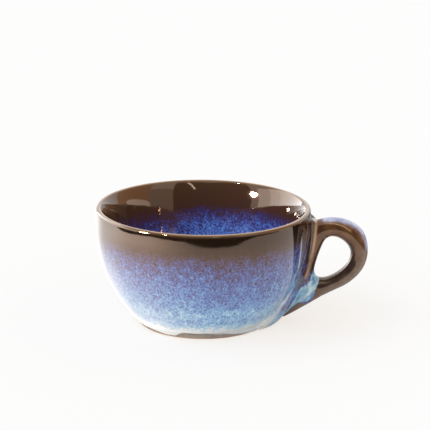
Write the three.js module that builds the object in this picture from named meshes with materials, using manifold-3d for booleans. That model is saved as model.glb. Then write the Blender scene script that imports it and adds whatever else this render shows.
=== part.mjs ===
// Shaving mug: a wide stoneware bowl on a low foot ring, with one looped handle, all under glaze.
// Millimetres, +Z up. The mug stands on the plane z = 0 and the handle points along +X.
// The bowl is described round its own axis, and the whole mug is then centred along X.

import * as THREE from 'three';
import { mergeVertices } from 'three/addons/utils/BufferGeometryUtils.js';
import Module from 'manifold-3d';

const wasm = await Module();
wasm.setup();

// Bowl, measured over its glaze
const rim_radius = 58;
const mug_height = 64;
const lip_radius = 1.6;
const floor_height = 8;
const wall_spread_power = 1.6;
const wall_rise_power = 0.85;
const cavity_spread_power = 0.55;
const cavity_rise_power = 0.68;
const cavity_flare_share = 0.12;
const lip_roll = 3.2;
const lip_roll_depth = 6.2;

// Foot ring, bare clay
const foot_radius = 34.5;
const foot_height = 2.8;
const foot_width = 5;
const foot_rounding = 0.6;
const foot_slip_film = 0.4;

// Glaze and the room between a coat and its clay
const glaze_coat = 0.6;
const seat_gap = 0.3;
const bead_swell = 0.7;
const bead_height = 3.5;
const bare_band = 0.9;

// Handle, measured over its glaze
const handle_reach = 31.6;
const crown_drop = 6.1;
const handle_width = 11;
const handle_edge_depth = 3.2;
const handle_edge_width = 4.6;
const handle_root_depth = 8;

// Clay left round the finger hole
const arm_height = 9.8;
const arm_thickness = 9.2;
const web_thickness = 2.4;
const arms_span_share = 0.756;

// Root fillet: clay wiped into the corner between the handle and the bowl
const fillet_rise = 3.6;
const fillet_lift = 3.2;
const fillet_spread = 5;
const fillet_hollow_power = 2.2;
const fillet_root_depth = 4;

// Heel: the fillet's low end, a lobe that hangs in front of the foot ring
const heel_lift = 5.6;
const heel_spread = 20;
const heel_swell_power = 0.15;
const heel_fade_power = 2.5;
const heel_height = 0.9;
const heel_root_height = 3.6;

// Fineness of the curved surfaces
const turns_round = 40;
const wall_steps = 11;
const lip_steps = 5;
const outline_steps = 32;
const hole_steps = 22;
const root_steps = 3;
const edge_steps = 3;
const fillet_rows = 11;
const fillet_columns = 14;
const low_row_power = 1.5;
const cavity_row_power = 1.5;
const tangent_share = 0.001;
const weld_distance = 0.0002;

const wall_top = mug_height - lip_radius;
const lip_centre_radius = rim_radius - lip_radius;
const lip_inner_lean = Math.atan(cavity_flare_share + lip_roll / lip_roll_depth);
const cavity_radius = lip_centre_radius - lip_radius * Math.cos(lip_inner_lean);
const cavity_top = wall_top + lip_radius * Math.sin(lip_inner_lean);
const skin = glaze_coat + seat_gap;
const glaze_edge_height = foot_height + bare_band;
const foot_inner_radius = foot_radius - foot_width;
const foot_slip_bottom = foot_height - foot_slip_film;
const handle_crown = mug_height - crown_drop;
const hole_height = handle_crown * arms_span_share - 2 * arm_height;
const hole_centre_height = handle_crown - arm_height - hole_height / 2;
const hole_width = handle_reach - arm_thickness - web_thickness;
const hole_reach = web_thickness + hole_width / 2;
const crest_gap_share = seat_gap / (2 * Math.PI * lip_radius);
const lip_inner_share = 1 - lip_inner_lean / Math.PI;
const quarter = Math.PI / 2;

// Solids

function solidOf(geometry) {
  geometry.deleteAttribute('normal');
  geometry.deleteAttribute('uv');
  const welded = mergeVertices(geometry, weld_distance);
  const corners = welded.index.array;
  const kept = [];
  for (let i = 0; i < corners.length; i += 3) {
    const [a, b, c] = corners.slice(i, i + 3);
    if (a !== b && b !== c && c !== a) kept.push(a, b, c);
  }
  return new wasm.Manifold(new wasm.Mesh({
    numProp: 3,
    vertProperties: new Float32Array(welded.attributes.position.array),
    triVerts: new Uint32Array(kept),
  }));
}

function geometryOf(solid) {
  const surface = solid.getMesh();
  const geometry = new THREE.BufferGeometry();
  geometry.setAttribute('position', new THREE.BufferAttribute(surface.vertProperties, 3));
  geometry.setIndex(new THREE.BufferAttribute(surface.triVerts, 1));
  geometry.computeVertexNormals();
  return geometry;
}

// A profile of (radius, height) points turned round the bowl's axis, on which it begins and ends.
function turned(profile) {
  const geometry = new THREE.LatheGeometry(profile, turns_round);
  geometry.rotateX(quarter);
  return solidOf(geometry);
}

// A profile clear of the axis, closed on itself and turned into a ring.
function turnedRing(profile) {
  return turned([...profile, profile[0]]);
}

// Even shares from nothing to the whole, in a number of steps.
function evenShares(steps) {
  return Array.from({ length: steps + 1 }, (_, i) => i / steps);
}

// Bowl curves: each is a quarter of a superellipse, from its low end (turn 0) to the lip (turn 1).
// The cavity's is also drawn in below the lip: quickly at first, so that the lip rolls outwards,
// and then slowly, so that the wall thickens downwards.

function outsideCurve(turn) {
  const spread = Math.sin(turn * quarter) ** wall_spread_power;
  const drop = Math.cos(turn * quarter) ** wall_rise_power;
  return new THREE.Vector2(
    foot_radius + (rim_radius - foot_radius) * spread,
    wall_top - (wall_top - foot_height) * drop,
  );
}

function cavityCurve(turn) {
  const spread = Math.sin(turn * quarter) ** cavity_spread_power;
  const drop = (cavity_top - floor_height) * Math.cos(turn * quarter) ** cavity_rise_power;
  const roll = lip_roll * (1 - Math.exp(-drop / lip_roll_depth));
  const drawn_radius = cavity_radius - cavity_flare_share * drop - roll;
  return new THREE.Vector2(drawn_radius * spread, cavity_top - drop);
}

// The unit normal of a curve, to the left of its way from the low end to the lip.
function leftNormal(curve, turn) {
  const before = curve(Math.max(turn - tangent_share, 0));
  const along = curve(Math.min(turn + tangent_share, 1)).sub(before).normalize();
  return new THREE.Vector2(-along.y, along.x);
}

// The turn at which the outside reaches a height.
function outsideTurn(height) {
  const drop = (wall_top - height) / (wall_top - foot_height);
  return Math.acos(drop ** (1 / wall_rise_power)) / quarter;
}

function insetPoint(curve, turn, depth) {
  return curve(turn).addScaledVector(leftNormal(curve, turn), depth);
}

// Points of the outside at a depth below the glaze's surface, from the glaze's lower edge to the lip.
// Every shell of the wall has its points at the same turns, so that they nest.
function outsidePoints(depth, steps = wall_steps) {
  const lowest = outsideTurn(glaze_edge_height);
  return evenShares(steps).map((share) =>
    insetPoint(outsideCurve, lowest + (1 - lowest) * share, depth));
}

function cavityPoints(depth) {
  return evenShares(wall_steps).slice(1).map((share) =>
    insetPoint(cavityCurve, 1 - (1 - share) ** cavity_row_power, -depth));
}

// Points round the lip, as shares of the half turn from its outer side, past its crest.
function lipPoints(depth, from_share, to_share) {
  return evenShares(lip_steps).map((share) => {
    const angle = (from_share + (to_share - from_share) * share) * 2 * quarter;
    const reach = lip_radius - depth;
    return new THREE.Vector2(
      lip_centre_radius + reach * Math.cos(angle),
      wall_top + reach * Math.sin(angle),
    );
  });
}

// Everything within the outside of the bowl at a depth, filled solid, to cut pieces at the wall.
// Below the glaze it clears the base and the foot ring.
function wallPlug(depth) {
  return turned([
    new THREE.Vector2(0, -seat_gap),
    new THREE.Vector2(foot_radius + seat_gap, -seat_gap),
    new THREE.Vector2(foot_radius + seat_gap, foot_height),
    ...outsidePoints(depth),
    ...lipPoints(depth, 0, 1 / 2).slice(1),
    new THREE.Vector2(0, mug_height - depth),
  ]);
}

// Bowl: thrown stoneware, a flat base under a round wall with a full lip.
function makeBowl() {
  return turned([
    new THREE.Vector2(0, foot_height),
    new THREE.Vector2(foot_radius, foot_height),
    ...outsidePoints(skin),
    ...lipPoints(skin, 0, lip_inner_share).slice(1),
    ...cavityPoints(skin).reverse().slice(1),
    new THREE.Vector2(0, floor_height - skin),
  ]);
}

// Foot: a ring that stands on the table, stuck to the base by a film of slip.

function makeFootRing() {
  return turnedRing([
    new THREE.Vector2(foot_radius - foot_rounding, 0),
    new THREE.Vector2(foot_radius, foot_rounding),
    new THREE.Vector2(foot_radius, foot_slip_bottom),
    new THREE.Vector2(foot_inner_radius, foot_slip_bottom),
    new THREE.Vector2(foot_inner_radius, foot_rounding),
    new THREE.Vector2(foot_inner_radius + foot_rounding, 0),
  ]);
}

function makeFootSlip() {
  return turnedRing([
    new THREE.Vector2(foot_radius, foot_slip_bottom),
    new THREE.Vector2(foot_radius, foot_height),
    new THREE.Vector2(foot_inner_radius, foot_height),
    new THREE.Vector2(foot_inner_radius, foot_slip_bottom),
  ]);
}

// Handle

// Outline of the handle seen from the side, from its root at the top to its root at the foot.
// Shares of its reach beyond the rim and of its crown's height.
const handle_outline_shares = [
  [0.13, 0.985], [0.38, 1], [0.64, 0.977], [0.85, 0.905], [0.97, 0.8], [1, 0.685], [0.935, 0.54],
  [0.775, 0.415], [0.565, 0.335], [0.275, 0.257], [-0.13, 0.13], [-0.42, 0.047],
];

// Outline of the finger hole, as shares of its width and height from its centre. It runs the same
// way round as the handle's outline, and is turned over where it becomes a hole.
const hole_outline_shares = [
  [0.04, 0.5], [0.36, 0.34], [0.5, 0.1], [0.38, -0.19], [0.05, -0.42],
  [-0.25, -0.51], [-0.48, -0.41], [-0.48, -0.23], [-0.36, 0.09], [-0.24, 0.37],
];

// Height at which the handle's upper edge meets the wall.
const root_height = handle_outline_shares[0][1] * handle_crown;

function smoothLoop(points, closed, steps) {
  const curve = new THREE.CatmullRomCurve3(points, closed, 'centripetal');
  const loop = curve.getSpacedPoints(steps).map((point) => new THREE.Vector2(point.x, point.y));
  return closed ? loop.slice(1) : loop;
}

function handleOutline() {
  const outer = handle_outline_shares.map(([out_share, up_share]) =>
    new THREE.Vector3(rim_radius + out_share * handle_reach, up_share * handle_crown));
  return [
    ...smoothLoop(outer, false, outline_steps),
    ...outsidePoints(handle_root_depth, root_steps),
  ];
}

function fingerHole() {
  const centre = rim_radius + hole_reach;
  const points = hole_outline_shares.map(([out_share, up_share]) => new THREE.Vector3(
    centre + out_share * hole_width,
    hole_centre_height + up_share * hole_height,
  ));
  return smoothLoop(points, true, hole_steps).reverse();
}

// The handle at a depth below its glazed surface, reaching into the wall.
function handleBlank(depth) {
  const shape = new THREE.Shape(handleOutline());
  shape.holes.push(new THREE.Path(fingerHole()));
  const flat_width = handle_width - 2 * handle_edge_width;
  const geometry = new THREE.ExtrudeGeometry(shape, {
    depth: flat_width,
    bevelThickness: handle_edge_width - depth,
    bevelSize: handle_edge_depth - depth,
    bevelOffset: -handle_edge_depth,
    bevelSegments: edge_steps,
    curveSegments: 1,
  });
  geometry.translate(0, 0, -flat_width / 2);
  geometry.rotateX(quarter);
  return solidOf(geometry);
}

// Root fillet

// A sheet between two grids of points that match, closed along its four edges.
function sheetBetween(front, back) {
  const rows = front.length;
  const columns = front[0].length;
  const corners = [...front.flat(), ...back.flat()].flatMap((point) => [point.x, point.y, point.z]);
  const faces = [];
  const quad = (a, b, c, d) => faces.push(a, b, c, a, c, d);
  const at = (row, column) => row * columns + column;
  const behind = (row, column) => rows * columns + at(row, column);
  for (let i = 1; i < rows; i += 1) {
    for (let j = 1; j < columns; j += 1) {
      quad(at(i - 1, j - 1), at(i - 1, j), at(i, j), at(i, j - 1));
      quad(behind(i - 1, j - 1), behind(i, j - 1), behind(i, j), behind(i - 1, j));
    }
    quad(at(i - 1, 0), at(i, 0), behind(i, 0), behind(i - 1, 0));
    quad(at(i, columns - 1), at(i - 1, columns - 1), behind(i - 1, columns - 1), behind(i, columns - 1));
  }
  for (let j = 1; j < columns; j += 1) {
    quad(at(0, j), at(0, j - 1), behind(0, j - 1), behind(0, j));
    quad(at(rows - 1, j - 1), at(rows - 1, j), behind(rows - 1, j), behind(rows - 1, j - 1));
  }
  const geometry = new THREE.BufferGeometry();
  geometry.setAttribute('position', new THREE.Float32BufferAttribute(corners, 3));
  geometry.setIndex(faces);
  return solidOf(geometry);
}

const fillet_top = root_height + fillet_rise;

// How far the fillet stands off the glazed wall, at a height and a distance across from the middle.
function filletLift(height, across, spread, rise, low_share) {
  const beside = Math.max(0, across - handle_width / 2) / spread;
  const above = Math.max(0, height - root_height) / rise;
  const nearness = Math.max(0, 1 - Math.hypot(beside, above));
  const power = fillet_hollow_power + (heel_swell_power - fillet_hollow_power) * low_share;
  const crest = fillet_lift + (heel_lift - fillet_lift) * low_share;
  return crest * nearness ** power;
}

// A (radius, height) point placed at an angle round the bowl's axis.
function placedRound(point, angle) {
  return new THREE.Vector3(point.x * Math.cos(angle), point.x * Math.sin(angle), point.y);
}

// The fillet at a depth below its glazed surface, reaching into the wall: a hollow corner beside
// the handle that spreads and swells into a heel over the foot.
function filletBlank(depth) {
  const bottom = heel_root_height + depth;
  const rise = fillet_rise - depth;
  const front = [];
  const back = [];
  for (const share of evenShares(fillet_rows)) {
    const height = bottom + (root_height + rise - bottom) * share ** low_row_power;
    const low_share = ((fillet_top - height) / (fillet_top - heel_root_height)) ** heel_fade_power;
    const spread = fillet_spread + (heel_spread - fillet_spread) * low_share - depth;
    const turn = outsideTurn(height);
    const wall = outsideCurve(turn);
    const inward = leftNormal(outsideCurve, turn);
    const core = wall.clone().addScaledVector(inward, fillet_root_depth);
    const room = (height - heel_height - depth) / inward.y;
    const front_row = [];
    const back_row = [];
    for (const column of evenShares(fillet_columns)) {
      const across = Math.sin((2 * column - 1) * quarter) * (handle_width / 2 + spread);
      const lift = Math.min(filletLift(height, Math.abs(across), spread, rise, low_share), room);
      const angle = across / wall.x;
      front_row.push(placedRound(wall.clone().addScaledVector(inward, depth - lift), angle));
      back_row.push(placedRound(core, angle));
    }
    front.push(front_row);
    back.push(back_row);
  }
  return sheetBetween(front, back);
}

// Pieces at the handle's root, each with its gap to its neighbours

const handle_clay = handleBlank(skin);
const handle_room = handleBlank(glaze_coat);
const fillet_room = filletBlank(glaze_coat);
const wall_room = wallPlug(glaze_coat);

function makeHandle() {
  return handle_clay.subtract(wallPlug(-seat_gap));
}

function makeHandleSlip() {
  return handle_clay.intersect(wallPlug(0)).subtract(wall_room);
}

function makeRootFillet() {
  return filletBlank(skin).subtract(handle_room).subtract(wall_room);
}

// Glaze

// The outside coat: a skin from a rolled edge above the foot to the crest of the lip, which also
// covers the handle and its fillet.
function makeOuterGlaze() {
  const crest_share = 1 / 2 - crest_gap_share;
  const surface = outsidePoints(0).map((point) => {
    const rise = Math.min(1, (point.y - glaze_edge_height) / bead_height);
    const swell = bead_swell * Math.sin(rise * 2 * quarter);
    return point.add(new THREE.Vector2(swell, 0));
  });
  const coat = turnedRing([
    ...surface,
    ...lipPoints(0, 0, crest_share).slice(1),
    ...lipPoints(glaze_coat, 0, crest_share).reverse(),
    ...outsidePoints(glaze_coat).reverse().slice(1),
  ]);
  const limb = handleBlank(0).add(filletBlank(0)).subtract(wall_room);
  return coat.add(limb).subtract(handle_room).subtract(fillet_room);
}

// The inside coat: from the crest of the lip down over the floor.
function makeInnerGlaze() {
  const crest_share = 1 / 2 + crest_gap_share;
  return turned([
    new THREE.Vector2(0, floor_height - glaze_coat),
    ...cavityPoints(glaze_coat),
    ...lipPoints(glaze_coat, crest_share, lip_inner_share).reverse().slice(1),
    ...lipPoints(0, crest_share, lip_inner_share),
    ...cavityPoints(0).reverse().slice(1),
    new THREE.Vector2(0, floor_height),
  ]);
}

// Materials

function fired(color, roughness) {
  return new THREE.MeshStandardMaterial({ color, roughness, metalness: 0 });
}

const pieces = [
  ['bowl', makeBowl(), fired('#b9825c', 0.85)],
  ['foot_ring', makeFootRing(), fired('#a87452', 0.9)],
  ['foot_slip', makeFootSlip(), fired('#8f6a50', 0.9)],
  ['handle', makeHandle(), fired('#b9825c', 0.85)],
  ['handle_slip', makeHandleSlip(), fired('#8f6a50', 0.9)],
  ['root_fillet', makeRootFillet(), fired('#b07a56', 0.85)],
  ['outer_glaze', makeOuterGlaze(), fired('#4a5fa8', 0.1)],
  ['inner_glaze', makeInnerGlaze(), fired('#2f2a5c', 0.1)],
];

const mug = new THREE.Group();
for (const [name, solid, material] of pieces) {
  const mesh = new THREE.Mesh(geometryOf(solid), material);
  mesh.name = name;
  mug.add(mesh);
}

mug.position.x = -handle_reach / 2;
const shaving_mug = new THREE.Group();
shaving_mug.add(mug);

export default shaving_mug;
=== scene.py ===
import math

import bpy
import numpy as np
from mathutils import Matrix, Vector


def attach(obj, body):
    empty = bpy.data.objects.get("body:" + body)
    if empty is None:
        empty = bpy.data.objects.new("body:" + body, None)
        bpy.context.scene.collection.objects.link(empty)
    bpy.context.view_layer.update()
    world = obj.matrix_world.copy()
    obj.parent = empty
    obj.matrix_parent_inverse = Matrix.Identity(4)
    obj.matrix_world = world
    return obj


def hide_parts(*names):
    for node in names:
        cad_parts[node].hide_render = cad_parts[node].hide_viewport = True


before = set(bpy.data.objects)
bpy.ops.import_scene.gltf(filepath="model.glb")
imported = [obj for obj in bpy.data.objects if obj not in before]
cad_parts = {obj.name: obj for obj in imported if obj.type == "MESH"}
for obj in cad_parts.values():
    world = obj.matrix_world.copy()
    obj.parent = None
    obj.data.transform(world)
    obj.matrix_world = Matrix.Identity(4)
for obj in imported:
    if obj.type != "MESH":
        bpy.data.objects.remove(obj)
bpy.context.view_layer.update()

# Foot ring: the bare clay ring that the mug stands on.
# Stoneware, thrown with the base, trimmed square on the wheel and wiped clean of glaze.
# Its worn lower corner has fired a little warmer than the rest.

MM = 0.001
BOWL_AXIS = -15.8
TURNS = 240
FOOT_RADIUS = 34.5
FOOT_INNER_RADIUS = 29.5
FOOT_HEIGHT = 2.8
SLIP_BOTTOM = 2.4
FOOT_CORNER = 0.6
CORNER_STEPS = 4
EDGE_ANGLE = math.radians(40)


def drawn_line(name, points):
    """A chain of edges through (radius, height) points, out along +X from the bowl's axis."""
    bpy.ops.object.select_all(action="DESELECT")
    bpy.ops.mesh.primitive_plane_add(size=MM)
    line = bpy.context.object
    line.name = name
    bpy.ops.object.mode_set(mode="EDIT")
    bpy.ops.mesh.select_all(action="SELECT")
    bpy.ops.mesh.merge(type="CENTER")
    here = (-BOWL_AXIS, 0)
    for number, (radius, height) in enumerate(points):
        step = ((radius - here[0]) * MM, 0, (height - here[1]) * MM)
        if number:
            bpy.ops.mesh.extrude_vertices_move(TRANSFORM_OT_translate={"value": step})
        else:
            bpy.ops.transform.translate(value=step)
        here = (radius, height)
    return line


def spun(name, points, angle=2 * math.pi, turns=TURNS):
    """The points turned about the bowl's axis, with the seam and the poles merged."""
    piece = drawn_line(name, points)
    axis = (BOWL_AXIS * MM, 0, 0)
    bpy.ops.mesh.select_all(action="SELECT")
    bpy.ops.mesh.spin(steps=turns, angle=angle, center=axis, axis=(0, 0, 1))
    bpy.ops.mesh.select_all(action="SELECT")
    bpy.ops.mesh.remove_doubles(threshold=0.001 * MM)
    bpy.ops.mesh.normals_make_consistent(inside=False)
    bpy.ops.object.mode_set(mode="OBJECT")
    bpy.ops.object.shade_smooth()
    return piece


def arc(centre, reach, first, last, steps):
    """(radius, height) points round a centre, between two angles in degrees."""
    turns = np.radians(np.linspace(first, last, steps + 1))
    return [(centre[0] + reach * math.cos(a), centre[1] + reach * math.sin(a)) for a in turns]


def moved(piece, rule):
    """Moves each vertex to where the rule puts it, in millimetres from the bowl's axis."""
    place = np.empty(3 * len(piece.data.vertices))
    piece.data.vertices.foreach_get("co", place)
    place = place.reshape(-1, 3) / MM - (BOWL_AXIS, 0, 0)
    place = (rule(place) + (BOWL_AXIS, 0, 0)) * MM
    piece.data.vertices.foreach_set("co", place.ravel())
    piece.data.update()


class Wire:
    """A socket of a material's node tree. Arithmetic on it adds Math nodes."""

    def __init__(self, tree, socket=None):
        self.tree = tree
        self.socket = socket

    def node(self, kind, settings=(), sockets=(), output=0):
        made = self.tree.nodes.new(kind)
        for name, value in dict(settings).items():
            if name == "stops":
                stops = made.color_ramp.elements
                while len(stops) < len(value):
                    stops.new(1)
                for stop, (place, shade) in zip(stops, value):
                    stop.position = place
                    stop.color = (*(shade if isinstance(shade, tuple) else (shade,) * 3), 1)
            else:
                setattr(made, name, value)
        for name, value in dict(sockets).items():
            if isinstance(value, Wire):
                self.tree.links.new(value.socket, made.inputs[name])
            else:
                made.inputs[name].default_value = value
        return Wire(self.tree, made.outputs[output])

    def math(self, operation, *values):
        return self.node("ShaderNodeMath", {"operation": operation}, dict(enumerate(values)))

    def __add__(self, other): return self.math("ADD", self, other)
    def __radd__(self, other): return self.math("ADD", other, self)
    def __sub__(self, other): return self.math("SUBTRACT", self, other)
    def __rsub__(self, other): return self.math("SUBTRACT", other, self)
    def __mul__(self, other): return self.math("MULTIPLY", self, other)

    def ramp(self, stops):
        return self.node("ShaderNodeValToRGB", {"stops": stops}, {"Fac": self})

    def smooth(self, low, high):
        """0 below the low value, 1 above the high one, and an even bend between them."""
        settings = {"interpolation_type": "SMOOTHSTEP"}
        sockets = {"Value": self, "From Min": low, "From Max": high}
        return self.node("ShaderNodeMapRange", settings, sockets)

    def mix(self, first, second):
        """The first colour where this is 0 and the second where it is 1."""
        sockets = {"Factor": self, 6: first, 7: second}
        return self.node("ShaderNodeMix", {"data_type": "RGBA"}, sockets, output=2)

    def place(self, drawn=(1, 1, 1), lean=0.0):
        """The object's coordinates, for a pattern drawn out along each axis and leant about Y."""
        place = self.node("ShaderNodeTexCoord", output="Object")
        sockets = {"Vector": place, "Scale": drawn, "Rotation": (0, lean, 0)}
        return self.node("ShaderNodeMapping", {"vector_type": "TEXTURE"}, sockets)

    def noise(self, scale, detail=2.0, roughness=0.5, drawn=(1, 1, 1), lean=0.0):
        """Noise from 0 to 1, with features about 1 / scale across."""
        sockets = {"Vector": self.place(drawn, lean), "Scale": scale}
        sockets.update({"Detail": detail, "Roughness": roughness})
        return self.node("ShaderNodeTexNoise", {}, sockets)

    def dots(self, scale, drawn=(1, 1, 1)):
        """Scattered soft dots, 1 in each dot's middle."""
        sockets = {"Vector": self.place(drawn), "Scale": scale, "Randomness": 1.0}
        away = self.node("ShaderNodeTexVoronoi", {"feature": "F1"}, sockets, output="Distance")
        return 1 - away.smooth(0.1, 0.6)

    def along(self, axis):
        """Metres along X, Y or Z from the object's origin."""
        place = self.node("ShaderNodeTexCoord", output="Object")
        return self.node("ShaderNodeSeparateXYZ", {}, {0: place}, output=axis)

    def height(self):
        """Millimetres above the table."""
        return self.along("Z") * (1 / MM)

    def bump(self, height, distance, strength=1.0):
        """A normal that follows a height, over a distance in metres."""
        sockets = {"Height": height, "Distance": distance, "Strength": strength}
        return self.node("ShaderNodeBump", {}, sockets)


def colour(red, green, blue):
    return (red, green, blue, 1)


def finish_of(name, build):
    """A material whose surface has the sockets that build gives for its empty node tree."""
    material = bpy.data.materials.new(name)
    material.use_nodes = True
    tree = material.node_tree
    surface = tree.nodes["Principled BSDF"]
    for socket, value in build(Wire(tree)).items():
        if isinstance(value, Wire):
            tree.links.new(value.socket, surface.inputs[socket])
        else:
            surface.inputs[socket].default_value = value
    return material


CLAY_TONES = [(0.3, (0.32, 0.26, 0.215)), (0.52, (0.42, 0.34, 0.29)), (0.75, (0.50, 0.415, 0.36))]
WARM_CLAY = colour(0.72, 0.34, 0.19)
IRON = colour(0.10, 0.055, 0.035)
CLAY_GRAIN = 0.12 * MM


def fired_clay(bare):
    """Bare stoneware: grey-brown, speckled with iron, warmer at its worn lower corner."""
    grain = bare.noise(900, 4, 0.6)
    cloud = bare.noise(120, 2)
    tone = (cloud * 0.6 + grain * 0.4).ramp(CLAY_TONES)
    worn = 1 - bare.height().smooth(0.1, 0.8)
    tone = (worn * 0.8).mix(tone, WARM_CLAY)
    iron = bare.noise(1100, 1).smooth(0.68, 0.76)
    tone = (iron * 0.5).mix(tone, IRON)
    return {
        "Base Color": tone,
        "Roughness": 0.72 + grain * 0.2,
        "Normal": bare.bump(grain, CLAY_GRAIN),
    }


def material_on(piece, material):
    piece.data.materials.clear()
    piece.data.materials.append(material)


bare_clay = finish_of("bare_clay", fired_clay)

outer_corner = (FOOT_RADIUS - FOOT_CORNER, FOOT_CORNER)
inner_corner = (FOOT_INNER_RADIUS + FOOT_CORNER, FOOT_CORNER)
foot_section = [
    *arc(outer_corner, FOOT_CORNER, -90, 0, CORNER_STEPS),
    (FOOT_RADIUS, SLIP_BOTTOM),
    (FOOT_INNER_RADIUS, SLIP_BOTTOM),
    *arc(inner_corner, FOOT_CORNER, 180, 270, CORNER_STEPS),
    (FOOT_RADIUS - FOOT_CORNER, 0),
]
foot_ring = spun("foot_ring_clay", foot_section)
bpy.ops.object.shade_smooth_by_angle(angle=EDGE_ANGLE)
material_on(foot_ring, bare_clay)
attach(foot_ring, "root")
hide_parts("foot_ring")

# Foot slip: the film of liquid clay that joins the ring to the base.
# It is brushed on wet, squeezed level with the ring's sides and fired with them.

SLIP_TONES = [(0.3, (0.30, 0.26, 0.23)), (0.7, (0.44, 0.385, 0.34))]
SLIP_GRAIN = 0.08 * MM


def fired_slip(bare):
    """Slip: finer and paler than the clay, with brush streaks."""
    streak = bare.noise(300, 3, 0.6, drawn=(4, 4, 1))
    return {
        "Base Color": streak.ramp(SLIP_TONES),
        "Roughness": 0.7 + streak * 0.2,
        "Normal": bare.bump(streak, SLIP_GRAIN),
    }


slip = finish_of("slip", fired_slip)

slip_section = [
    (FOOT_RADIUS, SLIP_BOTTOM),
    (FOOT_RADIUS, FOOT_HEIGHT),
    (FOOT_INNER_RADIUS, FOOT_HEIGHT),
    (FOOT_INNER_RADIUS, SLIP_BOTTOM),
    (FOOT_RADIUS, SLIP_BOTTOM),
]
foot_slip = spun("foot_slip_film", slip_section)
bpy.ops.object.shade_smooth_by_angle(angle=EDGE_ANGLE)
material_on(foot_slip, slip)
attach(foot_slip, "root")
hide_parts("foot_slip")

# Bowl: the stoneware body, with a flat base, a round wall and a full lip.
# It is thrown on the wheel in one lump and trimmed, and the glaze covers all but its base.

MUG_HEIGHT = 64.0
RIM_RADIUS = 58.0
LIP_RADIUS = 1.6
WALL_TOP = MUG_HEIGHT - LIP_RADIUS
WALL_SPREAD_POWER = 1.6
WALL_RISE_POWER = 0.85
CAVITY_SPREAD_POWER = 0.55
CAVITY_RISE_POWER = 0.68
CAVITY_FLARE = 0.12
LIP_ROLL = 3.2
LIP_ROLL_DEPTH = 6.2
LIP_LEAN = math.atan(CAVITY_FLARE + LIP_ROLL / LIP_ROLL_DEPTH)
CAVITY_RADIUS = RIM_RADIUS - LIP_RADIUS - LIP_RADIUS * math.cos(LIP_LEAN)
CAVITY_TOP = WALL_TOP + LIP_RADIUS * math.sin(LIP_LEAN)
FLOOR_HEIGHT = 8.0
GLAZE_EDGE = 3.7
SKIN = 0.9
GLAZE_COAT = 0.6
SHY = 0.01


def outside_curve(turn):
    """(radius, height) of the glazed outside, from the foot at turn 0 to the lip at 1."""
    a = np.asarray(turn) * math.pi / 2
    spread = np.sin(a) ** WALL_SPREAD_POWER
    drop = np.abs(np.cos(a)) ** WALL_RISE_POWER
    radius = FOOT_RADIUS + (RIM_RADIUS - FOOT_RADIUS) * spread
    return np.stack([radius, WALL_TOP - (WALL_TOP - FOOT_HEIGHT) * drop], -1)


def cavity_curve(turn):
    """(radius, height) of the glazed inside, from the floor's middle at turn 0 to the lip at 1."""
    a = np.asarray(turn) * math.pi / 2
    drop = (CAVITY_TOP - FLOOR_HEIGHT) * np.abs(np.cos(a)) ** CAVITY_RISE_POWER
    drawn = CAVITY_RADIUS - CAVITY_FLARE * drop - LIP_ROLL * (1 - np.exp(-drop / LIP_ROLL_DEPTH))
    return np.stack([drawn * np.sin(a) ** CAVITY_SPREAD_POWER, CAVITY_TOP - drop], -1)


def inset(curve, turn, depth):
    """Points of a curve, moved by a depth to the left of its way upwards."""
    turn = np.asarray(turn, float)
    along = curve(np.minimum(turn + 0.001, 1)) - curve(np.maximum(turn - 0.001, 0))
    along /= np.linalg.norm(along, axis=-1, keepdims=True)
    left = np.stack([-along[..., 1], along[..., 0]], -1)
    return curve(turn) + left * np.asarray(depth)[..., None]


def outside_turn(height):
    """The outside curve's turn at a height."""
    drop = (WALL_TOP - height) / (WALL_TOP - FOOT_HEIGHT)
    return math.acos(min(max(drop, 0), 1) ** (1 / WALL_RISE_POWER)) / (math.pi / 2)


def shares(steps, power=1.0):
    """Shares from nothing to the whole, even or bunched at the low end by a power."""
    return np.linspace(0, 1, steps + 1) ** power


LOWEST = outside_turn(GLAZE_EDGE)
LIP_CENTRE = (RIM_RADIUS - LIP_RADIUS, WALL_TOP)
LIP_END = 180 - math.degrees(LIP_LEAN)


def wall_points(depth, steps):
    """From the glaze's lower edge up to the lip."""
    return inset(outside_curve, LOWEST + (1 - LOWEST) * shares(steps, 1.2), depth).tolist()


def cavity_points(depth, steps):
    """From the lip down to near the floor's middle."""
    return inset(cavity_curve, 1 - shares(steps, 1.5)[:-1], -depth).tolist()


TRIM_DEPTH = 0.1
TRIM_RINGS = 2.4
CLAY_STEPS = 40


def trimmed(radius):
    """The base's height, with the shallow rings that the trimming tool leaves."""
    return FOOT_HEIGHT - TRIM_DEPTH + TRIM_DEPTH * math.cos(radius * TRIM_RINGS)


bowl = spun("bowl_clay", [
    (0, FOOT_HEIGHT),
    *[(radius, trimmed(radius)) for radius in np.arange(1, 29, 0.5)],
    (FOOT_INNER_RADIUS, FOOT_HEIGHT),
    (FOOT_RADIUS, FOOT_HEIGHT),
    *inset(outside_curve, shares(6) * LOWEST, SKIN * shares(6)).tolist()[1:],
    *wall_points(SKIN, CLAY_STEPS)[1:],
    *arc(LIP_CENTRE, LIP_RADIUS - SKIN, 0, LIP_END, 12)[1:],
    *cavity_points(SKIN, CLAY_STEPS)[1:],
    (0, FLOOR_HEIGHT - SKIN),
])
material_on(bowl, bare_clay)
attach(bowl, "root")
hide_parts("bowl")

# Handle, its slip and its root fillet: clay cores under the glaze.
# The handle is pulled, cut out and stuck on with slip, and clay is wiped into the corners
# of its root. The glaze covers all three, so the solids stay as they are.

for name, material in (("handle", bare_clay), ("handle_slip", slip), ("root_fillet", bare_clay)):
    material_on(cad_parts[name], material)

# Inside glaze: one coat poured in and swirled, from the crest of the lip down over the floor.
# It is a brown glaze at the lip that breaks through specks into deep blue.

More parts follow.
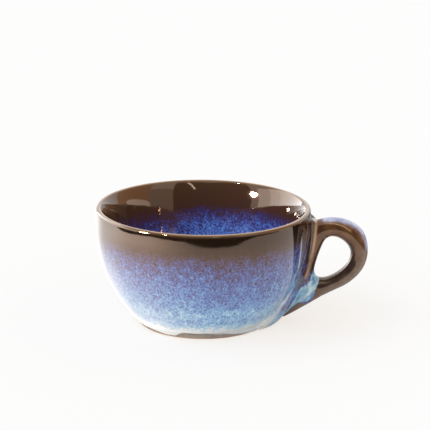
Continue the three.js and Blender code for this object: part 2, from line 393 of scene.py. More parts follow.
INSIDE_TONES = [
    (0.00, (0.068, 0.034, 0.017)),
    (0.24, (0.070, 0.030, 0.022)),
    (0.38, (0.056, 0.030, 0.080)),
    (0.50, (0.055, 0.060, 0.240)),
    (0.62, (0.078, 0.155, 0.520)),
    (0.76, (0.150, 0.330, 0.780)),
    (1.00, (0.330, 0.540, 0.850)),
]
# The glaze's place on its scale of tones, and how loose its grain is, at heights in millimetres.
INSIDE_STEPS = [
    (0, 0.66), (20, 0.66), (32, 0.64), (36, 0.61), (40, 0.565), (44, 0.48), (48, 0.36),
    (52, 0.17), (64, 0.05),
]
INSIDE_LOOSE = [(0, 0.8), (40, 1.1), (47, 0.95), (53, 0.2), (64, 0.0)]
GLAZE_SWELL = 0.25 * MM
AMBER = colour(0.085, 0.045, 0.020)
LIP_CLAY = colour(0.46, 0.27, 0.14)


def height_steps(pairs):
    """Ramp stops for (height in millimetres, value) pairs, up to the mug's full height."""
    return [(height / MUG_HEIGHT, value) for height, value in pairs]


def speckled_glaze(bare, steps, looseness):
    """The glaze's place on its scale of tones, with its grain, from its height on the wall."""
    height = bare.height()
    drift = bare.noise(38, 2, 0.5) - 0.5
    streak = bare.noise(190, 2, 0.5, drawn=(1, 1, 3)) - 0.5
    run = bare.noise(640, 1, 0.5, drawn=(1, 1, 3.2)) - 0.5
    fine = bare.noise(1150, 3, 0.65, drawn=(1, 1, 1.25)) - 0.5
    broad = bare.noise(300, 2, 0.55, drawn=(1, 1, 1.2)) - 0.5
    pits = bare.dots(700, (1, 1, 1.3)) * bare.noise(400, 1).smooth(0.3, 0.65)
    wander = (height + drift * 4 + streak * 3) * (1 / MUG_HEIGHT)
    place = wander.ramp(height_steps(steps))
    loose = wander.ramp(height_steps(looseness))
    low = 1 - height.smooth(12, 26)
    grain = fine * 0.84 + broad * 0.27 - (pits - 0.25) * 0.20
    grain = grain + (run * 0.5 + broad * 0.2) * low
    return place + grain * loose, fine, height


def glaze_skin(bare):
    """The small swells and dimples of a glaze that has run and set."""
    swell = bare.noise(70, 1) + bare.noise(330, 1) * 0.07
    return bare.bump(swell, GLAZE_SWELL, 0.5)


def glassy(tone, rough, normal):
    """The clear, hard surface of a fired glaze over its colour."""
    return {
        "Base Color": tone,
        "Roughness": rough,
        "IOR": 1.75,
        "Specular Tint": colour(1.0, 0.66, 0.46),
        "Coat Weight": 1.0,
        "Coat Roughness": 0.02,
        "Coat IOR": 1.3,
        "Normal": normal,
    }


def lip_amber(bare, tone):
    """The glaze drains thin on the crest of the lip, where the clay shows amber through it."""
    height = bare.height()
    thin = height.smooth(61.9, 63.5)
    worn = height.smooth(63.6, 63.95) * (0.45 + bare.noise(90, 2) * 0.7)
    return worn.mix(thin.mix(tone, AMBER), LIP_CLAY)


def inside_finish(bare):
    """The poured coat: brown at the lip, deep blue below, with painted shade on the side off the
    handle and painted light on the handle's side.
    """
    place, fine, _ = speckled_glaze(bare, INSIDE_STEPS, INSIDE_LOOSE)
    x = bare.along("X")
    # Painted shade pushes the tone darker on the left, off the handle, and painted light pushes it
    # paler on the handle's side.
    place = place - (1 - x.smooth(-0.036, -0.014)) * 0.14 + x.smooth(0.0, 0.024) * 0.07
    tone = lip_amber(bare, place.ramp(INSIDE_TONES))
    return glassy(tone, 0.06 + fine * 0.04, glaze_skin(bare))


inside_glaze = finish_of("inside_glaze", inside_finish)

INSIDE_START = 90.5
BACK_STEPS = 60
FACE_STEPS = 110

inner = spun("inside_coat", [
    (0, FLOOR_HEIGHT - GLAZE_COAT),
    *cavity_points(GLAZE_COAT, BACK_STEPS)[::-1],
    *arc(LIP_CENTRE, LIP_RADIUS - GLAZE_COAT, LIP_END, INSIDE_START, 8)[1:],
    *arc(LIP_CENTRE, LIP_RADIUS - SHY, INSIDE_START, LIP_END, 14),
    *cavity_points(0, FACE_STEPS)[1:],
    (0, FLOOR_HEIGHT),
])
material_on(inner, inside_glaze)
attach(inner, "root")
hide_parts("inner_glaze")

# Outside glaze on the wall: one dipped coat, from the crest of the lip to a rolled lower edge.
# It is thin and brown at the lip and has run down in the kiln into pale blue, with a thick
# cream roll above the foot that hangs in drips.

ROLL_TOP = 11.0
OUTSIDE_END = 89.5
GLAZE_TONES = [
    (0.00, (0.013, 0.007, 0.004)),
    (0.24, (0.040, 0.023, 0.018)),
    (0.36, (0.066, 0.046, 0.080)),
    (0.48, (0.072, 0.090, 0.27)),
    (0.59, (0.095, 0.175, 0.45)),
    (0.70, (0.160, 0.340, 0.63)),
    (0.82, (0.300, 0.545, 0.75)),
    (0.93, (0.450, 0.650, 0.78)),
    (1.00, (0.800, 0.840, 0.840)),
]
# The same two tables as for the inside, at heights in millimetres.
OUTSIDE_STEPS = [
    (0, 1.0), (5.0, 1.0), (7.0, 0.95), (9.0, 0.82), (11.5, 0.72), (14, 0.755), (16.5, 0.785),
    (19, 0.745), (22, 0.68), (27, 0.635), (33, 0.595), (39, 0.545), (45, 0.465), (50, 0.35),
    (55, 0.16), (59, 0.02), (64, 0.0),
]
OUTSIDE_LOOSE = [
    (0, 0.1), (5, 0.25), (8, 0.6), (12, 0.8), (20, 1.0), (40, 1.05), (48, 1.1), (54, 0.45),
    (58, 0.0),
]
# Heights of the coat's lower edge at angles round the wall, in millimetres and degrees.
EDGE_HEIGHTS = [
    (-180, 2.6), (-165, 2.3), (-150, 2.4), (-140, 2.4), (-130, 1.5), (-120, 1.0), (-115, 1.0),
    (-112, 1.7), (-109, 3.0), (-105, 3.6), (-100, 3.9), (-93, 3.4), (-89, 3.8), (-80, 3.3),
    (-70, 2.7), (-60, 1.7), (-50, 0.8), (-40, 0.5), (-30, 0.5), (0, 1.2), (30, 1.4), (50, 2.2),
    (62, 1.8), (75, 2.9), (90, 3.4), (112, 2.8), (118, 1.5), (125, 2.7), (148, 2.9), (160, 1.8),
    (180, 2.6),
]


def edge_drop(angle):
    """How far the coat's lower edge hangs below the line where it was wiped, round the wall."""
    angles, heights = zip(*EDGE_HEIGHTS)
    waves = 0.10 * np.sin(17 * angle + 0.3) + 0.06 * np.sin(29 * angle + 1.9)
    return GLAZE_EDGE - np.interp(np.degrees(angle), angles, heights) + waves


wall_turns = LOWEST + (1 - LOWEST) * shares(92, 1.35)
back_turns = LOWEST + (1 - LOWEST) * shares(26, 1.35)
edge_turns = np.full(5, LOWEST)
wall_coat = spun("wall_coat", [
    *inset(outside_curve, wall_turns, SHY).tolist(),
    *arc(LIP_CENTRE, LIP_RADIUS - SHY, 0, OUTSIDE_END, 14)[1:],
    *arc(LIP_CENTRE, LIP_RADIUS - GLAZE_COAT, OUTSIDE_END, 0, 8),
    *inset(outside_curve, back_turns, GLAZE_COAT).tolist()[::-1][1:],
    *inset(outside_curve, edge_turns, GLAZE_COAT * (1 - shares(4))).tolist()[1:],
])

ROLL_SWELL = 1.25
ROLL_ROUNDING = 1.3
LOWEST_DRIP = 0.45
DRIP_REACH = 2.5
DRIP_STAND_OFF = 0.25
FOOT_CLEARANCE = 0.05


def run_and_pooled(place):
    """The glaze's lower edge drawn down into drips, and thickened into a roll."""
    angle = np.arctan2(place[:, 1], place[:, 0])
    radius = np.hypot(place[:, 0], place[:, 1])
    height = place[:, 2]
    wall_radius, wall_height = outside_curve(wall_turns).T
    nearest = np.interp(height, wall_height, wall_radius)
    outer = radius > nearest - GLAZE_COAT / 2

    # The roll: a swell that fades upwards and is rounded off at the edge.
    up = np.clip((height - GLAZE_EDGE) / (ROLL_TOP - GLAZE_EDGE), 0, 1)
    swell = ROLL_SWELL * (1 - up) ** 2.2 * (1 + 0.35 * np.sin(5 * angle + 1) * np.sin(2 * angle))
    edge = np.clip((height - GLAZE_EDGE) / ROLL_ROUNDING, 0, 1)
    swell *= np.sqrt(1 - (1 - edge) ** 2) * 0.8 + 0.2

    # The drips: the edge hangs down, along the wall and then just clear of the foot.
    drop = edge_drop(angle) * np.clip(1 - up * 1.6, 0, 1) ** 2
    lowered = np.maximum(height - drop, LOWEST_DRIP)
    follow = np.interp(lowered, wall_height, wall_radius)
    hang = np.clip((GLAZE_EDGE - lowered) / DRIP_REACH, 0, 1)
    hung = follow + (FOOT_RADIUS + DRIP_STAND_OFF - follow) * hang
    follow = np.where(lowered < GLAZE_EDGE, hung, follow)
    least = np.where(lowered < FOOT_HEIGHT + 0.2, FOOT_RADIUS + FOOT_CLEARANCE, 0)
    drawn = np.maximum(radius + (follow - nearest), least)

    # The whole coat is a little uneven, but not at the lip.
    uneven = 0.05 * np.sin(4 * angle + 0.5) + 0.04 * np.sin(7 * angle + height * 0.16)
    uneven = uneven * np.clip((WALL_TOP - 2 - height) / 16, 0, 1)
    drawn = drawn + np.where(outer, swell + uneven, 0)
    return np.stack([drawn * np.cos(angle), drawn * np.sin(angle), lowered], -1)


moved(wall_coat, run_and_pooled)

FLOW = math.atan2(19, 17)
DARK_BROWN = [(0.3, (0.016, 0.008, 0.005)), (0.7, (0.045, 0.023, 0.013))]
THIN_BROWN = [(0.3, (0.070, 0.031, 0.014)), (0.7, (0.150, 0.068, 0.030))]
LILAC_AND_HIGHLIGHT_TONES = [(0.3, (0.24, 0.30, 0.58)), (0.7, (0.56, 0.64, 0.86))]
MILK_TONES = [(0.3, (0.07, 0.20, 0.44)), (0.48, (0.22, 0.47, 0.66)), (0.66, (0.62, 0.80, 0.80))]
TABLE_REFLECTION_BROWN = colour(0.270, 0.195, 0.155)
CREAM_HIGHLIGHT = colour(0.78, 0.73, 0.67)
RIDGE_AMBER = colour(0.43, 0.245, 0.125)


def outside_finish(bare):
    """The dipped coat. Its masks, such as arm and pool, are stored on the handle's coat only."""
    def mask(name):
        return bare.node("ShaderNodeAttribute", {"attribute_name": name}, output="Fac")

    place, fine, height = speckled_glaze(bare, OUTSIDE_STEPS, OUTSIDE_LOOSE)
    x = bare.along("X")
    side = x.smooth(-0.027, -0.006) * (1 - x.smooth(0.012, 0.034) * 0.6)
    # The hollows mask is painted shade: darker in the fillet's hollow corners and low on the web.
    # The heel mask turns the heel bluer.
    place = place - mask("hollow") * 0.27 - mask("heel") * 0.16
    place = place - side * height.smooth(10, 22) * 0.055
    tone = place.ramp(GLAZE_TONES)

    # Brown on the arms, thinner on the upper one, darker on the lower one, and paler along the
    # underside, where the table's reflection is painted in.
    cloud = bare.noise(220, 3, 0.6) - 0.5
    patch = cloud + 0.5
    brown = height.smooth(30, 47).mix(patch.ramp(DARK_BROWN), patch.ramp(THIN_BROWN))
    # Painted reflection: the lower arm's underside is paled towards the table below it.
    brown = (mask("under") * (0.7 + cloud)).mix(brown, TABLE_REFLECTION_BROWN)
    tone = (mask("arm") + cloud * 0.5).smooth(0.3, 0.7).mix(tone, brown)
    # Lilac glaze on the top crest of the loop, painted paler towards white-blue as a highlight
    # from the overhead light.
    tone = (mask("crest") + cloud * 0.5).smooth(0.05, 1.0).mix(tone, patch.ramp(LILAC_AND_HIGHLIGHT_TONES))

    # The milky pool, drawn out along the way it ran, with torn edges.
    swirl = bare.noise(420, 3, 0.6, drawn=(3.2, 1, 1), lean=-FLOW)
    torn = bare.noise(300, 3, 0.65, drawn=(2.4, 1, 1), lean=-FLOW) - 0.5
    tone = (mask("pool") + torn * 1.3).smooth(0.35, 0.65).mix(tone, swirl.ramp(MILK_TONES))
    # Painted highlight: a cream line along the fillet's border low down, where it flares into the
    # heel.
    tone = (mask("cream") * (0.75 + cloud)).mix(tone, CREAM_HIGHLIGHT)
    tone = (mask("ridge") + cloud * 0.3).smooth(0.2, 1.0).mix(tone, RIDGE_AMBER)
    return glassy(lip_amber(bare, tone), 0.07 + fine * 0.05, glaze_skin(bare))


outside_glaze = finish_of("outside_glaze", outside_finish)
material_on(wall_coat, outside_glaze)
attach(wall_coat, "root")
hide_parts("outer_glaze")

# Outside glaze on the handle: the same dipped coat, over the loop, its web and its heel.
# It is brown on the arms, thin and amber along their ridges, and has pooled milky blue
# in the crotch under the finger hole.

# Each station is a point of the finger hole's edge, and the point across from it.
STATIONS = [
    ((71.2, 48.1), (71.5, 58.7)), ((75.0, 46.4), (78.9, 57.2)), ((77.8, 44.0), (84.9, 53.5)),
    ((79.6, 41.4), (88.2, 48.9)), ((80.4, 38.4), (89.95, 41.6)), ((79.9, 35.0), (89.5, 35.0)),
    ((78.0, 31.6), (86.9, 28.6)), ((75.0, 28.8), (81.3, 22.7)), ((71.7, 26.5), (75.8, 19.2)),
    ((68.5, 24.9), (70.4, 16.8)), ((65.5, 24.2), (64.0, 13.2)), ((63.2, 24.6), (57.0, 10.5)),
    ((62.0, 25.3), (52.5, 12.5)), ((61.3, 26.1), (49.0, 18.0)), ((60.9, 27.2), (48.0, 24.0)),
    ((60.6, 29.0), (48.0, 30.0)), ((61.5, 33.0), (50.0, 37.0)), ((63.0, 38.2), (52.0, 43.0)),
    ((64.4, 42.0), (54.0, 48.5)), ((65.7, 45.2), (57.0, 54.5)), ((67.6, 47.5), (62.5, 57.8)),
]
# The block behind the hole: along the lower edge to the foot, and up inside the web.
ROOT_BLOCK = [
    (66.0, 15.3), (57.0, 9.8), (50.8, 6.1), (44.5, 2.6), (38.0, 4.0), (42.0, 30.0),
    (48.0, 45.0), (53.0, 53.0), (60.0, 54.5), (63.6, 49.5), (62.3, 43.5), (60.2, 36.0),
    (58.9, 31.0), (59.0, 26.5), (61.0, 23.4), (65.5, 21.7),
]
# Half of the loop's section: the share of the way across, and half the width there.
HALF_SECTION = [
    (0.0, 0.0), (0.03, 1.9), (0.10, 3.5), (0.21, 4.8), (0.36, 5.5), (0.52, 5.5), (0.67, 5.3),
    (0.79, 4.95), (0.88, 3.9), (0.965, 2.1), (1.0, 0.0),
]
# How much wider the section is at each station.
WIDENING = [1.0] * 10 + [1.02] + [1.03] * 4 + [1.0] * 6
ROOT_HALF_WIDTH = 5.55
ROOT_ROUNDING = 2.6


def slope(edge, far):
    """The angle above X of the way from a station's edge to the point across from it."""
    return math.atan2(*(far - edge)[::-1])


def swept_loop(name, stations, section, widening):
    """A ring of section points carried from station to station round a loop, and closed."""
    around = section + [(share, -half) for share, half in section[-2:0:-1]]
    stations = [(np.array(edge), np.array(far)) for edge, far in stations]
    bpy.ops.object.select_all(action="DESELECT")
    bpy.ops.mesh.primitive_circle_add(vertices=len(around), radius=MM, fill_type="NOTHING")
    loop = bpy.context.object
    loop.name = name
    edge, far = stations[0]
    for (share, half), vertex in zip(around, loop.data.vertices):
        x, z = edge + share * (far - edge)
        vertex.co = ((x + BOWL_AXIS) * MM, half * widening[0] * MM, z * MM)
    bpy.ops.object.mode_set(mode="EDIT")
    bpy.ops.mesh.select_all(action="SELECT")
    for number in range(1, len(stations) + 1):
        last_edge, last_far = stations[number - 1]
        edge, far = stations[number % len(stations)]
        step = (edge - last_edge) * MM
        lie = slope(edge, far)
        turn = lie - slope(last_edge, last_far)
        longer = np.linalg.norm(far - edge) / np.linalg.norm(last_far - last_edge)
        wider = widening[number % len(stations)] / widening[number - 1]
        about = {"center_override": ((edge[0] + BOWL_AXIS) * MM, 0, edge[1] * MM)}
        tilt = {"orient_axis": "Y", "orient_type": "GLOBAL", **about}
        bpy.ops.mesh.extrude_edges_move(TRANSFORM_OT_translate={"value": (step[0], 0, step[1])})
        bpy.ops.transform.rotate(value=turn - lie, **tilt)
        bpy.ops.transform.resize(value=(longer, wider, 1), **about)
        bpy.ops.transform.rotate(value=lie, **tilt)
    bpy.ops.mesh.select_all(action="SELECT")
    bpy.ops.mesh.remove_doubles(threshold=0.02 * MM)
    bpy.ops.mesh.normals_make_consistent(inside=False)
    bpy.ops.object.mode_set(mode="OBJECT")
    return loop


def applied(piece, kind, **settings):
    """Adds a modifier, sets it and applies it."""
    bpy.ops.object.select_all(action="DESELECT")
    piece.select_set(True)
    bpy.context.view_layer.objects.active = piece
    modifier = piece.modifiers.new(kind.lower(), kind)
    for setting, value in settings.items():
        setattr(modifier, setting, value)
    bpy.ops.object.modifier_apply(modifier=modifier.name)


handle_coat = swept_loop("handle_coat", STATIONS, HALF_SECTION, WIDENING)
applied(handle_coat, "SUBSURF", levels=2, render_levels=2)

bpy.ops.object.select_all(action="DESELECT")
bpy.ops.mesh.primitive_circle_add(vertices=len(ROOT_BLOCK), radius=MM, fill_type="NGON")
root_block = bpy.context.object
for (x, z), vertex in zip(ROOT_BLOCK, root_block.data.vertices):
    vertex.co = ((x + BOWL_AXIS) * MM, -ROOT_HALF_WIDTH * MM, z * MM)
bpy.ops.object.mode_set(mode="EDIT")
bpy.ops.mesh.select_all(action="SELECT")
across = (0, 2 * ROOT_HALF_WIDTH * MM, 0)
bpy.ops.mesh.extrude_region_move(TRANSFORM_OT_translate={"value": across})
bpy.ops.mesh.select_all(action="SELECT")
bpy.ops.mesh.normals_make_consistent(inside=False)
bpy.ops.object.mode_set(mode="OBJECT")
rounding = {"limit_method": "ANGLE", "angle_limit": math.radians(60), "segments": 4}
applied(root_block, "BEVEL", width=ROOT_ROUNDING * MM, **rounding)

# The fillet beside the root: hollow corners at the sides, swelling into the heel below.

HANDLE_WIDTH = 11.0
ROOT_HEIGHT = 57.03
FILLET_RISE = 3.6
FILLET_LIFT = 3.2
FILLET_SPREAD = 5.0
FILLET_POWER = 2.2
FILLET_DEPTH = 3.0
HEEL_LIFT = 5.6
HEEL_SPREAD = 20.0
HEEL_POWER = 0.35
HEEL_FADE = 2.5
HEEL_TUCK = 1.2
HEEL_ROOT = 3.6
HEEL_HEIGHT = 0.9
HALF_SPREAD = math.radians(46)


def between(high, low, share):
    """From the first value at a share of 0 to the second at 1."""
    return high + (low - high) * share


def fillet_lift(height, across):
    """How far the fillet stands off the wall, and a share that falls to 0 at its border."""
    top = ROOT_HEIGHT + FILLET_RISE
    low = np.clip((top - height) / (top - HEEL_ROOT), 0, 1) ** HEEL_FADE
    reach = between(FILLET_SPREAD, HEEL_SPREAD, low) - HEEL_TUCK * np.clip((7 - height) / 5, 0, 1)
    beside = np.maximum(0, np.abs(across) - HANDLE_WIDTH / 2) / reach
    above = np.maximum(0, height - ROOT_HEIGHT) / FILLET_RISE
    near = 1 - np.hypot(beside, above)
    power = between(FILLET_POWER, HEEL_POWER, low)
    return between(FILLET_LIFT, HEEL_LIFT, low) * np.maximum(near, 0) ** power, near


fillet_start = outside_turn(HEEL_ROOT - 0.2)
fillet_turns = fillet_start + (0.985 - fillet_start) * shares(110)
fillet_line = outside_curve(fillet_turns)
fillet = spun("fillet_coat", fillet_line.tolist(), angle=2 * HALF_SPREAD, turns=180)


def fillet_shape(place):
    """The patch of wall turned to the handle's side and raised into the fillet."""
    angle = np.arctan2(place[:, 1], place[:, 0])
    angle = angle - np.sign(angle.sum()) * HALF_SPREAD
    turn = np.interp(place[:, 2], fillet_line[:, 1], fillet_turns)
    radius, height = outside_curve(turn).T
    lift, near = fillet_lift(height, angle * radius)
    out, up = (inset(outside_curve, turn, -1.0) - outside_curve(turn)).T

    # Where the wall leans down, the lift stops above the table. Past the border it sinks in.
    room = np.where(up < -1e-3, (height - HEEL_HEIGHT) / np.maximum(-up, 1e-3), np.inf)
    lift = np.minimum(lift, room) - np.clip(-near * 6, 0, 1) * 0.8
    radius = radius + out * lift
    height = height + up * lift
    return np.stack([radius * np.cos(angle), radius * np.sin(angle), height], -1)


moved(fillet, fillet_shape)
applied(fillet, "SOLIDIFY", thickness=FILLET_DEPTH * MM, offset=-1)

# The loop, the root and the fillet become one coat, cut away where the wall's coat lies.
bpy.ops.object.select_all(action="DESELECT")
for lump in (fillet, root_block, handle_coat):
    lump.select_set(True)
bpy.context.view_layer.objects.active = handle_coat
bpy.ops.object.join()
applied(handle_coat, "REMESH", mode="VOXEL", voxel_size=0.4 * MM)
applied(handle_coat, "SMOOTH", factor=0.5, iterations=8)

PLUG_DEPTH = 0.25
PLUG_FOOT = FOOT_RADIUS + 0.2

plug = spun("wall_plug", [
    (0, -1),
    (PLUG_FOOT, -1),
    (PLUG_FOOT, FOOT_HEIGHT),
    *wall_points(PLUG_DEPTH, 60),
    *arc(LIP_CENTRE, LIP_RADIUS - PLUG_DEPTH, 0, 90, 8)[1:],
    (0, WALL_TOP + LIP_RADIUS - PLUG_DEPTH),
])
applied(handle_coat, "BOOLEAN", operation="DIFFERENCE", object=plug, solver="MANIFOLD")
bpy.data.objects.remove(plug)
bpy.ops.object.select_all(action="DESELECT")
handle_coat.select_set(True)
bpy.ops.object.shade_smooth()


def from_line(x, z, points):
    """The distance from each (x, z) to a chain of points."""
    best = np.full(len(x), np.inf)
    for (ax, az), (bx, bz) in zip(points, points[1:]):
        dx, dz = bx - ax, bz - az
        share = np.clip(((x - ax) * dx + (z - az) * dz) / (dx * dx + dz * dz), 0, 1)
        best = np.minimum(best, np.hypot(x - ax - share * dx, z - az - share * dz))
    return best


def within(x, z, corners, soft):
    """1 inside a closed outline, 0 outside, with a soft edge."""
    inside = np.zeros(len(x), bool)
    for (ax, az), (bx, bz) in zip(corners, corners[1:] + corners[:1]):
        crosses = (az > z) != (bz > z)
        with np.errstate(divide="ignore", invalid="ignore"):
            inside ^= crosses & (x < (bx - ax) * (z - az) / (bz - az) + ax)
    away = from_line(x, z, corners + corners[:1])
    return np.clip(0.5 + np.where(inside, away, -away) / (2 * soft), 0, 1)


# Outlines and lines on the handle's side, as (distance from the bowl's axis, height).
WEB_RIDGE = [
    (61.3, 60.5), (61.0, 57.7), (60.8, 52.1), (60.2, 46.5), (59.5, 40.9), (58.2, 35.2),
    (56.7, 29.5), (55.2, 23.8),
]
ARM_RIDGE = [(61.0, 55.4), (66.0, 56.2), (71.0, 56.1), (76.0, 54.6), (79.5, 52.2)]
POOL = [
    (60.3, 29.5), (58.8, 24.4), (56.6, 21.6), (53.4, 19.8), (51.3, 18.1), (48.6, 14.1),
    (45.5, 9.5), (42.3, 4.0), (43.4, 3.2), (45.5, 6.1), (49.3, 10.1), (52.0, 11.8),
    (55.8, 11.2), (58.2, 13.0), (59.4, 16.8), (61.4, 20.5), (63.9, 24.8), (62.0, 27.0),
]
ARM = [
    (60.9, 70), *WEB_RIDGE[1:6], (57.5, 30), (60.3, 28.9), (63.6, 26.8), (63.1, 23.3),
    (61.6, 19.9), (60.6, 16.5), (59.0, 11.9), (56.3, 10.7), (52.0, 11.8), (49.3, 10.1),
    (45.5, 6.1), (43.4, 3.7), (43.0, -5), (100, -5), (100, 70),
]
WEB_LOW = [
    (58.0, 40.0), (59.6, 34.0), (60.0, 29.5), (58.5, 24.6), (56.3, 21.8), (53.1, 20.0),
    (51.0, 18.3), (48.3, 14.2), (46.0, 10.5), (44.8, 12.0), (47.5, 18.0), (50.0, 24.0),
    (52.0, 30.0), (55.0, 38.0),
]
# The underside line, along which the table's reflection is painted in.
UNDERSIDE = [
    (89.8, 38.0), (89.3, 34.5), (86.9, 28.6), (81.3, 22.7), (75.8, 19.2), (70.4, 16.8),
    (64.0, 13.2), (57.0, 9.8), (47.0, 4.0),
]
CREST = [(66, 58.6), (71.5, 58.9), (78.9, 57.4), (84.9, 53.7), (88.4, 49.0), (90.0, 42.0)]


def hump(away, width):
    """1 in the middle of a soft-edged band, falling to 0 past its width."""
    return np.exp(-((away / width) ** 2))


def rise(value, start, width):
    """0 up to the start, then rising evenly to 1 over the width."""
    return np.clip((value - start) / width, 0, 1)


spots = np.empty(3 * len(handle_coat.data.vertices))
handle_coat.data.vertices.foreach_get("co", spots)
x, y, z = (spots.reshape(-1, 3) / MM - (BOWL_AXIS, 0, 0)).T
wide = np.abs(y)
on_side = 1 - rise(wide, 6.0, 1.2)
_, border = fillet_lift(z, np.arctan2(y, x) * np.hypot(x, y))
web_ridge = hump(from_line(x, z, WEB_RIDGE), 0.95) * (wide < 7.5) * rise(z, 23, 4)
arm_ridge = hump(from_line(x, z, ARM_RIDGE), 0.6) * hump(wide - 5.1, 0.9)
# Painted shade down the fillet's hollow corners beside the root, not streaks in the glaze.
streaks = rise(border, 0.12, 0.25) * rise(z, 8, 12) * (wide > 4)
masks = {
    "arm": within(x, z, ARM, 0.9) * on_side,
    "pool": within(x, z, POOL, 1.3) * on_side,
    "ridge": np.maximum(web_ridge, 0.8 * arm_ridge),
    # The crest mask holds the loop's lilac glaze and a painted highlight along its top.
    "crest": hump(from_line(x, z, CREST), 2.1) * (1 - rise(wide, 3.6, 2.0)),
    "heel": rise(border, 0.2, 0.15) * (1 - rise(z, 10, 6)),
    # The cream mask is a painted highlight along the fillet's lower border.
    "cream": hump(border - 0.16, 0.10) * (1 - rise(z, 14, 10)),
    # The hollows mask is painted shade in the fillet's corners and on the web's low part.
    "hollow": np.maximum(streaks, within(x, z, WEB_LOW, 1.5) * on_side),
    # The underside mask is the painted reflection of the table on the lower arm's underside.
    "under": hump(from_line(x, z, UNDERSIDE), 4.6) * rise(x, 44, 4),
}
for name, mask in masks.items():
    attribute = handle_coat.data.attributes.new(name, "FLOAT", "POINT")
    attribute.data.foreach_set("value", mask.astype(np.float32))

material_on(handle_coat, outside_glaze)
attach(handle_coat, "root")
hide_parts("outer_glaze")

# Studio: a plain pale floor that runs away to white, soft lamps on the left, and boards that
# only the gloss sees, as the table, the windows and the dark sides of a room.

FLOOR_SIZE = 12
FLOOR_TONES = [(0.3, (0.91, 0.90, 0.89)), (0.7, (0.93, 0.92, 0.91))]
SEEN_FLOOR = colour(0.170, 0.235, 0.300)
SEEN_GLOW = colour(0.797, 0.727, 0.654)
NO_GLOW = colour(0, 0, 0)

bpy.ops.object.select_all(action="DESELECT")
bpy.ops.mesh.primitive_plane_add(size=FLOOR_SIZE)
floor = bpy.context.object
floor.name = "floor"


def lit_surface(tone, rough, glow, strength=1.0):
    """A dull surface that glows by itself."""
    return {
        "Base Color": tone,
        "Roughness": rough,
        "Specular IOR Level": 0.0,
        "Emission Color": glow,
        "Emission Strength": strength,
    }


def floor_finish(bare):
    """The floor: nearly white, and seen by the camera as a white that still takes shadows."""
    cloud = bare.noise(3, 2)
    seen = bare.node("ShaderNodeLightPath", output="Is Camera Ray")
    tone = seen.mix(cloud.ramp(FLOOR_TONES), SEEN_FLOOR)
    return lit_surface(tone, 0.8 + cloud * 0.1, seen.mix(NO_GLOW, SEEN_GLOW))


material_on(floor, finish_of("floor", floor_finish))


def board(name, corners, finish):
    """A flat board that only reflections see, round its corner points in metres."""
    bpy.ops.object.select_all(action="DESELECT")
    bpy.ops.mesh.primitive_circle_add(vertices=len(corners), radius=1, fill_type="NGON")
    made = bpy.context.object
    made.name = name
    for vertex, corner in zip(made.data.vertices, corners):
        vertex.co = corner
    made.visible_camera = made.visible_diffuse = made.visible_shadow = False
    made.visible_transmission = made.visible_volume_scatter = False
    material_on(made, finish_of(name, finish))


def plain(shade, strength=1.0):
    """The finish of a board that glows in one shade."""
    return lambda bare: lit_surface(NO_GLOW, 1.0, shade, strength)


DARK = colour(0.03, 0.022, 0.016)
PALE = colour(1.0, 0.93, 0.86)
COOL = colour(0.96, 1.0, 1.02)
WARM = colour(1.0, 0.58, 0.33)
DIM = colour(0.2, 0.18, 0.16)
TABLE_END = 3

# The table's near edge, where its light top gives way to the dark room, in metres.
NEAR_EDGE = [
    (-TABLE_END, 0.12), (-0.29, 0.02), (-0.268, -0.017), (-0.258, -0.066), (-0.250, -0.122),
    (-0.229, -0.172), (-0.190, -0.203), (-0.154, -0.224), (-0.091, -0.233), (-0.020, -0.224),
    (0.030, -0.213), (0.060, -0.209), (0.083, -0.201), (0.110, -0.194), (0.144, -0.193),
    (0.185, -0.182), (0.212, -0.164), (0.239, -0.118), (0.26, -0.06), (TABLE_END, -0.06),
]
dark_table = NEAR_EDGE + [(TABLE_END, -4), (-TABLE_END, -4)]
board("dark_table", [(x, y, 0.002) for x, y in dark_table], plain(DARK))


def turned(bearing, distance):
    """(x, y) at a bearing from the bowl's axis. Degrees, 0 towards the camera, + to its right."""
    a = math.radians(bearing)
    return BOWL_AXIS * MM + distance * math.sin(a), -distance * math.cos(a)


def table_sector(name, first, last, shade):
    """A board on the table behind the mug, between two bearings."""
    spots = [(first, 0.085), (first, TABLE_END), (last, TABLE_END), (last, 0.085)]
    board(name, [(*turned(*spot), 0.003) for spot in spots], plain(shade))


table_sector("dark_table_behind", 99.5, 114.5, DARK)
table_sector("light_gap_behind", 114.5, 118, PALE)
table_sector("dim_table_behind", 118, 172, DIM)


def left_glow(bare):
    """The lit side of the table: brighter from the front round to the left."""
    x = bare.along("X") - BOWL_AXIS * MM
    y = bare.along("Y")
    bearing = x.math("ARCTAN2", x * -1, y * -1)
    away = x.math("SQRT", x * x + y * y)

    def past(first, last):
        return bearing.smooth(math.radians(first), math.radians(last))

    lit = past(0, 62) * (away.smooth(0.15, 0.23) * 0.42 + 0.52)
    lit = lit * (1 - past(40, 70) * (1 - away.smooth(0.045, 0.085)) * 0.6)
    lit = lit * (1 - past(85, 125) * 0.65)
    glow = lit.mix(colour(1.0, 0.97, 0.94), colour(3.1, 2.93, 2.8))
    return lit_surface(NO_GLOW, 1.0, glow)


lit_table = [(-0.016, -0.5), (-TABLE_END, -0.5), (-TABLE_END, 1.5), (-0.016, 1.5)]
board("lit_table", [(x, y, 0.001) for x, y in lit_table], left_glow)

ROOM_DISTANCE = 1.9
POST_DISTANCE = 1.8
LAMP_DISTANCE = 1.5
EYE_HEIGHT = 0.05


def out_there(bearing, elevation, distance):
    """A point round the mug, at a bearing and an elevation in degrees."""
    rise = distance * math.tan(math.radians(elevation))
    return (*turned(bearing, distance), EYE_HEIGHT + rise)


def wall_board(name, bearings, elevations, shade, strength, distance=ROOM_DISTANCE):
    """A board that stands up round the mug, between two bearings and two elevations."""
    low, high = elevations
    spots = [(turn, low) for turn in bearings] + [(turn, high) for turn in bearings[::-1]]
    board(name, [out_there(*spot, distance) for spot in spots], plain(shade, strength))


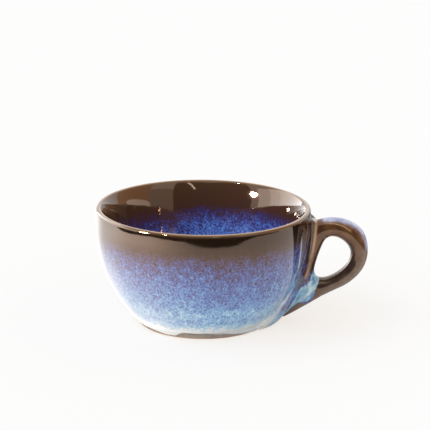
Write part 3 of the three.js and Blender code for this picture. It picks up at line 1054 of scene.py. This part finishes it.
def bulb(name, bearing, elevation, reach, strength):
    """A round lamp, with its reach across and up in degrees."""
    turns = np.radians(np.arange(0, 360, 20))
    rim = [(bearing + reach[0] * math.cos(t), elevation + reach[1] * math.sin(t)) for t in turns]
    board(name, [out_there(*spot, LAMP_DISTANCE) for spot in rim], plain(PALE, strength))


wall_board("dark_room_left", (-62, -12), (-2, 48), DARK, 1.0)
wall_board("dark_room_right", (-12, 38), (-2, 48), DARK, 1.0)
wall_board("window", (38, 70), (-2, 30), PALE, 0.55)
wall_board("dark_room_side", (70, 122), (-2, 48), WARM, 0.8)
wall_board("window_left", (-72, -90), (-2, 34), COOL, 2.4)
wall_board("window_mid_left", (-90, -106), (-2, 34), COOL, 3.2)
wall_board("window_far_left", (-106, -150), (-2, 40), COOL, 3.7)
wall_board("window_post", (-123, -129), (-2, 40), DARK, 4.0, POST_DISTANCE)
bulb("bulb", -65.5, 21.5, (4.9, 4.4), 220.0)
bulb("high_bulb", -54, 53, (2.2, 1.2), 600.0)
bulb("shaded_lamp", 88, 8.5, (19, 4.5), 1.7)
strip = [(22.5, 47), (21, 49), (10, 31), (11.5, 29)]
board("strip_lamp", [out_there(*spot, LAMP_DISTANCE) for spot in strip], plain(PALE, 5.0))

world = bpy.data.worlds.new("studio")
bpy.context.scene.world = world
world.use_nodes = True
air = Wire(world.node_tree)
seen = air.node("ShaderNodeLightPath", output="Is Camera Ray")
shone = air.node("ShaderNodeLightPath", output="Is Glossy Ray")
level = 0.85 + seen * 0.15 + shone * 0.10
backdrop = world.node_tree.nodes["Background"]
backdrop.inputs["Color"].default_value = colour(1.0, 0.99, 0.98)
world.node_tree.links.new(level.socket, backdrop.inputs["Strength"])


def lamp(name, bearing, elevation, power, spread):
    """A wide soft lamp, far off, that the gloss doesn't see."""
    data = bpy.data.lights.new(name, "SUN")
    data.angle = math.radians(spread)
    data.energy = power
    made = bpy.data.objects.new(name, data)
    bpy.context.scene.collection.objects.link(made)
    a, e = math.radians(bearing), math.radians(elevation)
    out = Vector((math.sin(a) * math.cos(e), -math.cos(a) * math.cos(e), math.sin(e)))
    made.rotation_euler = (-out).to_track_quat("-Z", "Y").to_euler()
    made.visible_glossy = False


lamp("key_lamp", -75, 45, 0.8, 50)
lamp("fill_lamp", -45, 35, 0.4, 60)

# Camera, at the photograph's viewing angle. Its lens is long, so the mug is drawn almost
# without perspective.

SENSOR_WIDTH = 36
PICTURE_WIDTH = 430
FOCAL_LENGTH = 2117
CAMERA_PLACE = Vector((BOWL_AXIS * MM, -1.1016, 0.3666))

camera_data = bpy.data.cameras.new("camera")
camera_data.sensor_width = SENSOR_WIDTH
camera_data.lens = FOCAL_LENGTH / PICTURE_WIDTH * SENSOR_WIDTH
camera = bpy.data.objects.new("camera", camera_data)
bpy.context.scene.collection.objects.link(camera)
ahead = Vector((0.0056, 0.9632, -0.2689)).normalized()
level_line = Vector((1, -0.0032, 0.0089))
right = (level_line - ahead * ahead.dot(level_line)).normalized()
turn = Matrix((right, right.cross(ahead), -ahead)).transposed()
camera.matrix_world = Matrix.LocRotScale(CAMERA_PLACE, turn, None)
bpy.context.scene.camera = camera

bpy.context.scene.view_settings.view_transform = "Standard"
